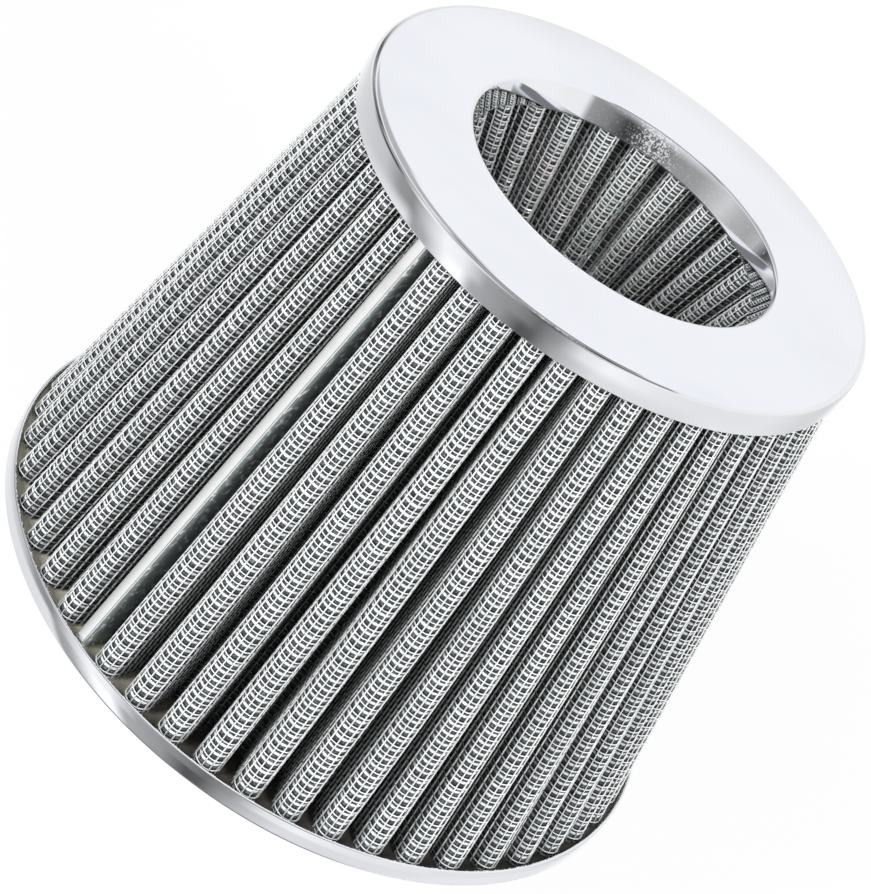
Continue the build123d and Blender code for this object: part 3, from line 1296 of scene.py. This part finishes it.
@dataclass
class Shell:
    """The turned pieces: cap, base, potting, end cup and neck."""

    base_radius: float = 77.7
    base_sheet: float = 1.0
    base_round: float = 1.6
    foot_z: float = 20.0
    rim_z: float = 25.4
    cap_radius: float = 58.0
    cap_sheet: float = 0.8
    cap_round: float = 1.9
    hole_round: float = 1.2
    face_z: float = 142.8
    skirt_z: float = 135.6
    hole_radius: float = 35.5
    throat_radius: float = 33.1
    throat_z: float = 136.6
    bore_radius: float = 38.0
    neck_radius: float = 41.5
    neck_gap: float = 0.2
    bead_radius: float = 42.9
    bead_z: float = 3.0
    flange_radius: float = 50.0
    flange_z: float = 22.4
    potting_z: float = 23.6
    potting_mouth: float = 46.0
    bond: float = 0.1
    cap_seat_z: float = 138.0
    cup_seat_z: float = 84.0
    cup_plate_z: float = 81.5
    cup_foot_z: float = 80.7
    cup_rim_z: float = 86.0
    cup_radius: float = 23.92
    cup_sheet: float = 0.8
    meniscus: float = 0.5
    cup_meniscus: float = 0.3
    lip: float = 0.35
    cap_bulge: float = 0.08
    base_bulge: float = 0.3
    bulge_round: float = 14.0
    channel_round: float = 0.4
    rim_round: float = 0.45
    dish_round: float = 0.6
    bore_round: float = 0.6
    bead_round: float = 0.8
    bead_root: float = 0.5
    flange_root: float = 0.15
    flange_foot: float = 0.2
    flange_round: float = 0.4
    mouth_round: float = 0.4
    cup_round: float = 1.0
    cup_seat_round: float = 0.3
    cup_fill_round: float = 0.2
    cup_segments: int = 192

    @property
    def plate_z(self) -> float:
        """Top of the base's plate."""
        return self.foot_z + self.base_sheet

    @property
    def ceiling_z(self) -> float:
        """Underside of the cap's face."""
        return self.face_z - self.cap_sheet

    def throat(self, z: float) -> float:
        """Outside radius of the cap's inner skirt at a height."""
        lean = (self.hole_radius - self.throat_radius) / (self.face_z - self.throat_z)
        return self.throat_radius + self.cap_sheet + lean * (z - self.throat_z)

    def build_cap(self) -> bpy.types.Object:
        """Makes the pressed ring cap, with rounded edges and a small roll on its free edges.

        Returns:
            The cap.
        """
        skirt_inside = self.cap_radius - self.cap_sheet
        return turned(
            "ring_cap",
            [
                Corner(self.cap_radius - self.cap_bulge, self.skirt_z, self.lip),
                Corner(self.cap_radius, (self.skirt_z + self.face_z) / 2, self.bulge_round),
                Corner(self.cap_radius - self.cap_bulge, self.face_z, self.cap_round),
                Corner(self.hole_radius, self.face_z, self.hole_round),
                Corner(self.throat_radius, self.throat_z, self.lip),
                Corner(self.throat(self.throat_z), self.throat_z, self.lip),
                Corner(self.throat(self.ceiling_z), self.ceiling_z, self.channel_round),
                Corner(skirt_inside, self.ceiling_z, self.channel_round),
                Corner(skirt_inside, self.skirt_z, self.lip),
            ],
        )

    def build_base(self) -> bpy.types.Object:
        """Makes the pressed base dish, with a rounded foot and a rolled rim.

        Returns:
            The dish.
        """
        inside = self.base_radius - self.base_sheet
        hole = self.neck_radius + self.neck_gap
        return turned(
            "base_dish",
            [
                Corner(hole, self.foot_z, self.lip),
                Corner(self.base_radius - self.base_bulge, self.foot_z, self.base_round),
                Corner(self.base_radius, (self.foot_z + self.rim_z) / 2, self.bulge_round),
                Corner(self.base_radius - self.base_bulge, self.rim_z, self.rim_round),
                Corner(inside, self.rim_z, self.rim_round),
                Corner(inside, self.plate_z, self.dish_round),
                Corner(hole, self.plate_z, self.lip),
            ],
        )

    def build_neck(self) -> bpy.types.Object:
        """Makes the rubber neck, with a bead for the clamp and a flange in the dish.

        Returns:
            The neck.
        """
        return turned(
            "rubber_neck",
            [
                Corner(self.bore_radius, 0.0, self.bore_round),
                Corner(self.bead_radius, 0.0, self.bead_round),
                Corner(self.bead_radius, self.bead_z, self.bead_round),
                Corner(self.neck_radius, self.bead_z, self.bead_root),
                Corner(self.neck_radius, self.plate_z, self.flange_root),
                Corner(self.flange_radius, self.plate_z, self.flange_foot),
                Corner(self.flange_radius, self.flange_z, self.flange_round),
                Corner(self.bore_radius, self.flange_z, self.bore_round),
            ],
        )

    def build_base_potting(self) -> bpy.types.Object:
        """Makes the compound in the dish, which creeps a little up the rim.

        Returns:
            The compound.
        """
        outside = self.base_radius - self.base_sheet - self.bond
        return turned(
            "base_compound",
            [
                Corner(self.flange_radius + self.bond, self.plate_z),
                Corner(outside, self.plate_z),
                Corner(outside, self.potting_z + self.meniscus),
                Corner(outside - self.meniscus, self.potting_z, self.meniscus),
                Corner(self.potting_mouth, self.potting_z, self.mouth_round),
                Corner(self.potting_mouth, self.flange_z),
                Corner(self.flange_radius + self.bond, self.flange_z),
            ],
        )

    def build_top_potting(self) -> bpy.types.Object:
        """Makes the compound in the channel of the cap.

        Returns:
            The compound.
        """
        outside = self.cap_radius - self.cap_sheet - self.bond
        return turned(
            "cap_compound",
            [
                Corner(self.throat(self.cap_seat_z) + self.bond, self.cap_seat_z),
                Corner(outside, self.cap_seat_z),
                Corner(outside, self.ceiling_z),
                Corner(self.throat(self.ceiling_z) + self.bond, self.ceiling_z),
            ],
        )

    def build_cup(self) -> bpy.types.Object:
        """Makes the cup that closes the inner pack's lower end.

        Returns:
            The cup.
        """
        inside = self.cup_radius - self.cup_sheet
        return turned(
            "end_cup",
            [
                Corner(0.0, self.cup_foot_z),
                Corner(self.cup_radius, self.cup_foot_z, self.cup_round),
                Corner(self.cup_radius, self.cup_rim_z, self.lip),
                Corner(inside, self.cup_rim_z, self.lip),
                Corner(inside, self.cup_plate_z, self.cup_seat_round),
                Corner(0.0, self.cup_plate_z),
            ],
            self.cup_segments,
        )

    def build_cup_potting(self) -> bpy.types.Object:
        """Makes the compound in the end cup.

        Returns:
            The compound.
        """
        outside = self.cup_radius - self.cup_sheet - self.bond
        return turned(
            "cup_compound",
            [
                Corner(0.0, self.cup_plate_z),
                Corner(outside, self.cup_plate_z, self.cup_fill_round),
                Corner(outside, self.cup_seat_z, self.cup_meniscus),
                Corner(0.0, self.cup_seat_z),
            ],
            self.cup_segments,
        )

    def dress(self) -> None:
        """Builds the turned pieces and puts their finishes on."""
        chrome = ChromePlate().material()
        compound = CastCompound().material()
        fit(self.build_cap(), chrome, Slot.CHROME, "top_cap")
        fit(self.build_base(), chrome, Slot.CHROME, "base_ring")
        fit(self.build_neck(), MouldedRubber().material(), Slot.RUBBER, "inlet_neck")
        fit(self.build_base_potting(), compound, Slot.POTTING, "base_potting")
        fit(self.build_top_potting(), compound, Slot.POTTING, "top_potting")
        fit(self.build_cup(), PressedSteel().material(), Slot.CUP, "inner_end_cup")
        fit(self.build_cup_potting(), compound, Slot.POTTING, "inner_end_potting")


class Lamp(NamedTuple):
    """A round lamp: where it hangs, what it points at, its size in millimetres and its spread in degrees."""

    name: str
    spot: tuple[float, float, float]
    aim: tuple[float, float, float]
    size: float
    watts: float
    spread: float


# Azimuths with the brightness there
Greys = tuple[tuple[float, float], ...]


@dataclass(frozen=True)
class Room:
    """The room that the chrome mirrors, in bands by the rise of a direction, which is 1 straight up.

    A band's greys are its brightness by azimuth, in degrees from the camera's side, positive towards +X.
    Each top is where one band blends into the next, and each edge is where a mark fades. A ring and a
    brow are dim stripes overhead, and a heap is where the glints lie closest.
    """

    ceiling: Colour = (0.96, 0.97, 1.0)
    underfoot: Colour = (0.22, 0.22, 0.225)
    coolness: float = 1.01
    horizon_top: Span = (0.28, 0.42)
    skirting_top: Span = (-0.02, 0.06)
    low_side_top: Span = (-0.30, -0.16)
    ground_top: Span = (-0.58, -0.50)
    underfoot_top: Span = (-0.94, -0.88)
    horizon: Greys = (
        (-180, 0.9), (-160, 0.8), (-145, 0.1), (-128, 0.4), (-116, 0.2), (-104, 0.08), (-92, 0.5),
        (-80, 0.42), (-68, 0.5), (-56, 0.68), (-44, 0.52), (-32, 0.37), (-8, 0.30), (4, 0.12),
        (28, 0.05), (42, 0.24), (56, 0.34), (61, 0.92), (102, 0.95), (160, 0.9),
    )
    skirting: Greys = (
        (-180, 0.95), (-130, 0.9), (-112, 0.72), (-101, 0.25), (-92, 0.05), (-80, 0.08), (-70, 0.5),
        (-60, 0.95), (-30, 0.9), (-16, 0.6), (-2, 0.12), (8, 0.12), (24, 0.5), (40, 0.95),
        (120, 0.9), (150, 0.95),
    )
    low_side: Greys = (
        (-180, 0.85), (-164, 0.98), (-140, 0.78), (-116, 0.70), (-92, 0.60), (-79, 0.34), (-68, 0.30),
        (-56, 0.70), (-46, 1.0), (-36, 0.95), (-24, 0.40), (-10, 0.30), (2, 0.16), (12, 0.36),
        (22, 0.85), (34, 1.0), (56, 0.88), (90, 0.86), (112, 0.85), (136, 0.73), (150, 0.73),
        (164, 0.90),
    )
    ground: Greys = (
        (-180, 0.95), (-148, 0.90), (-120, 0.84), (-72, 0.84), (-66, 0.38), (-58, 0.45), (-50, 0.8),
        (-44, 1.1), (-36, 1.1), (-30, 0.45), (-14, 0.34), (-4, 0.1), (2, 0.12), (8, 0.3), (20, 0.6),
        (32, 0.81), (72, 0.82), (90, 0.9), (136, 0.88), (150, 1.0),
    )
    ring_colour: Colour = (0.2, 0.2, 0.21)
    ring_share: float = 0.62
    ring_foot: Span = (0.44, 0.50)
    ring_top: Span = (0.78, 0.84)
    ring_edge: Span = (0.25, 0.5)
    brow_colour: Colour = (0.15, 0.15, 0.155)
    brow_share: float = 0.9
    brow_foot: Span = (0.36, 0.41)
    brow_top: Span = (0.54, 0.58)
    brow_edge: Span = (0.118, 0.14)
    glint_scale: float = 52.0
    glint_edge: Span = (0.62, 0.68)
    glint_shown: float = 0.3
    heap_turn: float = 0.518
    heap_narrowness: float = 15.0
    heap_edge: Span = (0.2, 1.0)
    heap_lift: float = 0.13
    heap_shown: float = 0.5

    @staticmethod
    def band(shader: Shader, azimuth: Value, greys: Greys, coolness: float = 1.0) -> Value:
        """Colour of a band.

        Args:
            shader: The world's shader.
            azimuth: Azimuth as a share of a full turn, 0.5 on the camera's side.
            greys: The band's brightness by azimuth.
            coolness: How much brighter its blue is.

        Returns:
            The colour at that azimuth.
        """
        stops = [(0.5 + turn / 360, (grey, grey, grey * coolness)) for turn, grey in greys]
        return shader.node("ShaderNodeValToRGB", {"stops": stops}, {0: azimuth})

    def glints(self, shader: Shader, way: Value, azimuth: Value) -> Value:
        """Crumbs of light in the band above the horizon, dense where they lie in a heap.

        Args:
            shader: The world's shader.
            way: The direction that is looked in.
            azimuth: Its azimuth as a share of a full turn.

        Returns:
            How much of a glint shows.
        """
        inputs = {"Vector": way, "Scale": self.glint_scale, "Detail": 3.0}
        crumbs = shader.node("ShaderNodeTexNoise", None, inputs, 0)
        heap = 1 - abs((azimuth - self.heap_turn) * self.heap_narrowness).step(*self.heap_edge)
        shown = heap * self.heap_shown + self.glint_shown
        return (crumbs + heap * self.heap_lift).step(*self.glint_edge) * shown

    def colour(self, shader: Shader, way: Value) -> Value:
        """Colour of the room in a direction.

        Args:
            shader: The world's shader.
            way: The direction.

        Returns:
            The colour there.
        """
        east, north, rise = shader.axes(way)
        azimuth = east.math("ARCTAN2", east, -north) / (2 * pi) + 0.5
        horizon = self.band(shader, azimuth, self.horizon)
        horizon = shader.mix(self.glints(shader, way, azimuth), horizon, WHITE)
        skirting = self.band(shader, azimuth, self.skirting)
        low_side = self.band(shader, azimuth, self.low_side, self.coolness)
        ground = self.band(shader, azimuth, self.ground, self.coolness)
        ring = (rise.step(*self.ring_foot) - rise.step(*self.ring_top)) * (-east).step(*self.ring_edge)
        brow = rise.step(*self.brow_foot) - rise.step(*self.brow_top)
        brow = brow * (1 - abs(azimuth - 0.5).step(*self.brow_edge))
        room = shader.mix(ring * self.ring_share, self.ceiling, self.ring_colour)
        room = shader.mix(brow * self.brow_share, room, self.brow_colour)
        for top, below in (
            (self.horizon_top, horizon),
            (self.skirting_top, skirting),
            (self.low_side_top, low_side),
            (self.ground_top, ground),
            (self.underfoot_top, self.underfoot),
        ):
            room = shader.mix(1 - rise.step(*top), room, below)
        return room


@dataclass
class Studio:
    """Camera, light and floor. The camera is the one that the photograph was fitted with."""

    image_size: tuple[int, int] = (871, 894)
    focal_px: float = 3101.6
    foot_px: tuple[float, float] = (325.66, 602.15)
    foot_z: float = 20.0
    distance: float = 679.56
    elevation: float = 32.13
    roll: float = 36.71
    sensor: float = 36.0
    clip_m: tuple[float, float] = (0.01, 100.0)
    low_fill: Colour = (0.05, 0.05, 0.052)
    level_fill: Colour = (0.70, 0.71, 0.72)
    high_fill: Colour = (0.45, 0.455, 0.46)
    low_fill_top: Span = (-0.4, 0.1)
    level_fill_top: Span = (0.3, 0.9)
    floor_radius: float = 3000.0
    floor_sides: int = 128
    floor_colour: Colour = (0.86, 0.86, 0.86)
    floor_grain_colour: Colour = (0.90, 0.90, 0.90)
    floor_grain_mm: float = 2.0
    floor_white: float = 0.9
    floor_edge_m: Span = (0.08, 0.4)
    lamps: tuple[Lamp, ...] = (
        Lamp("key", (-640, -760, 420), (0, 0, 100), 420, 16.9, 180),
        Lamp("fill", (700, -660, 400), (0, 0, 100), 420, 12.4, 180),
        Lamp("mouth", (200, -745, 780), (0, 8, 140), 30, 0.008, 3),
    )

    def place_camera(self) -> None:
        """Sets the camera so that the middle of the base's foot falls on its pixel."""
        tilt, turn = radians(self.elevation), radians(self.roll)
        back = Vector((0, -cos(tilt), sin(tilt)))
        right = Vector((1, 0, 0))
        up = back.cross(right)
        level, rise = right * cos(turn) + up * sin(turn), up * cos(turn) - right * sin(turn)
        shift = (Vector(self.foot_px) - Vector(self.image_size) / 2) * self.distance / self.focal_px
        eye = Vector((0, 0, self.foot_z)) + back * self.distance - level * shift.x + rise * shift.y
        lens = bpy.data.cameras.new("camera")
        lens.sensor_width = self.sensor
        lens.lens = self.focal_px * self.sensor / max(self.image_size)
        lens.clip_start, lens.clip_end = self.clip_m
        camera = bpy.data.objects.new("camera", lens)
        axes = Matrix((level, rise, back)).transposed()
        camera.matrix_world = Matrix.Translation(eye * MM) @ axes.to_4x4()
        bpy.context.scene.collection.objects.link(camera)
        bpy.context.scene.camera = camera

    def light_world(self) -> None:
        """Surrounds the filter: white for the camera, the room for mirrors and a soft fill for the rest."""
        world = bpy.data.worlds.new("studio")
        bpy.context.scene.world = world
        world.use_nodes = True
        shader = Shader(world.node_tree)
        way = shader.node("ShaderNodeTexCoord", None, None, "Generated")
        rise = shader.axes(way)[2]
        fill = shader.mix(rise.step(*self.low_fill_top), self.low_fill, self.level_fill)
        fill = shader.mix(rise.step(*self.level_fill_top), fill, self.high_fill)
        seen = shader.mix(shader.ray("Is Glossy Ray"), fill, Room().colour(shader, way))
        seen = shader.mix(shader.ray("Is Camera Ray"), seen, WHITE)
        sky = shader.node("ShaderNodeBackground", None, {"Color": seen, "Strength": 1.0})
        shader.node("ShaderNodeOutputWorld", None, {"Surface": sky})

    def lay_floor(self) -> None:
        """A wide pale floor that keeps the filter's shadow and melts into the white room."""
        spokes = np.arange(self.floor_sides) * 2 * pi / self.floor_sides
        rim = np.stack([np.cos(spokes), np.sin(spokes), np.zeros_like(spokes)], 1) * self.floor_radius
        floor = new_mesh("floor", rim, [list(range(self.floor_sides))])
        material, shader = new_material("pale_floor")
        place = shader.position()
        grain = shader.noise(place, self.floor_grain_mm, 2.0)
        pale = shader.mix(grain, self.floor_colour, self.floor_grain_colour)
        matt = shader.node("ShaderNodeBsdfDiffuse", None, {"Color": pale})
        white = shader.node("ShaderNodeEmission", None, {"Color": opaque(WHITE), "Strength": 1.0})
        level = {0: place, 1: (1.0, 1.0, 0.0)}
        flat = shader.node("ShaderNodeVectorMath", {"operation": "MULTIPLY"}, level)
        fade = shader.length(flat).step(*self.floor_edge_m)
        share = shader.ray("Is Camera Ray") * (fade * (1 - self.floor_white) + self.floor_white)
        shown = shader.node("ShaderNodeMixShader", None, {0: share, 1: matt, 2: white})
        shader.node("ShaderNodeOutputMaterial", None, {"Surface": shown})
        floor.data.materials.append(material)
        floor.visible_glossy = False
        floor.visible_diffuse = False

    def hang_lamps(self) -> None:
        """A soft key from the left, a weaker fill from the right and a faint lamp into the cap's hole."""
        for lamp in self.lamps:
            light = bpy.data.lights.new(lamp.name, "AREA")
            light.shape = "DISK"
            light.size = lamp.size * MM
            light.energy = lamp.watts
            light.spread = radians(lamp.spread)
            holder = bpy.data.objects.new(lamp.name, light)
            holder.location = Vector(lamp.spot) * MM
            beam = Vector(lamp.aim) * MM - holder.location
            holder.rotation_euler = beam.to_track_quat("-Z", "Y").to_euler()
            holder.visible_glossy = False
            bpy.context.scene.collection.objects.link(holder)

    def set_up(self) -> None:
        """Builds the studio."""
        bpy.context.scene.view_settings.view_transform = "Standard"
        self.place_camera()
        self.light_world()
        self.lay_floor()
        self.hang_lamps()


def packs(shell: Shell) -> list[PleatedPack]:
    """Sets out the two pleated packs.

    Args:
        shell: The pieces that hold their ends.

    Returns:
        The outer and the inner pack.
    """
    outer = PleatedPack(
        name="outer_pack",
        node="outer_pleats",
        facing=Facing.OUTWARD,
        low_z=shell.potting_z,
        high_z=shell.cap_seat_z,
        low_ridge=76.4,
        high_ridge=56.482,
        wide_depth=13.0,
        pleats=49,
        seam_azimuth=-117.6,
        seam_gap=11.1,
        drifts=(Drift(-68, 42, 0.25, 3.6), Drift(-15, 28, 1.9, 1.9), Drift(-178, 27, -4.6, -5.6)),
    )
    inner = PleatedPack(
        name="inner_pack",
        node="inner_pleats",
        facing=Facing.INWARD,
        low_z=shell.cup_seat_z,
        high_z=shell.cap_seat_z,
        low_ridge=17.5,
        high_ridge=35.052,
        wide_depth=8.0,
        pleats=24,
        seam_azimuth=-79.0,
        seam_gap=26.0,
        media_inset=0.48,
        lengthways_pitch=1.6,
        crossways_pitch=1.75,
        lengthways_radius=0.21,
        crossways_radius=0.21,
    )
    return [outer, inner]


def seam_strips(outer: PleatedPack, inner: PleatedPack) -> list[SeamStrip]:
    """Sets out the strips that close the packs.

    Args:
        outer: The outer pack.
        inner: The inner pack.

    Returns:
        The outer and the inner strip.
    """
    depths = {outer.name: 7.0, inner.name: 2.6}
    return [
        SeamStrip(
            name=name,
            node=name,
            facing=pack.facing,
            azimuth=pack.seam_azimuth,
            low_z=pack.low_z,
            high_z=pack.high_z,
            low_reach=pack.low_ridge,
            high_reach=pack.high_ridge,
            depth=depths[pack.name],
            drifts=pack.drifts,
        )
        for name, pack in (("outer_seam_strip", outer), ("inner_seam_strip", inner))
    ]


def main() -> None:
    """Builds and dresses the filter, piece by piece, and sets up the studio."""
    logging.basicConfig(level=logging.INFO, format="%(name)s: %(message)s")
    shell = Shell()
    shell.dress()
    outer, inner = packs(shell)
    media, wire = GreyGauze().material(), BrightWire().material()
    for pack in (outer, inner):
        pack.dress(media, wire)
    plate = TinPlate().material()
    for strip in seam_strips(outer, inner):
        strip.dress(plate)
    Studio().set_up()


if __name__ == "__main__":
    main()
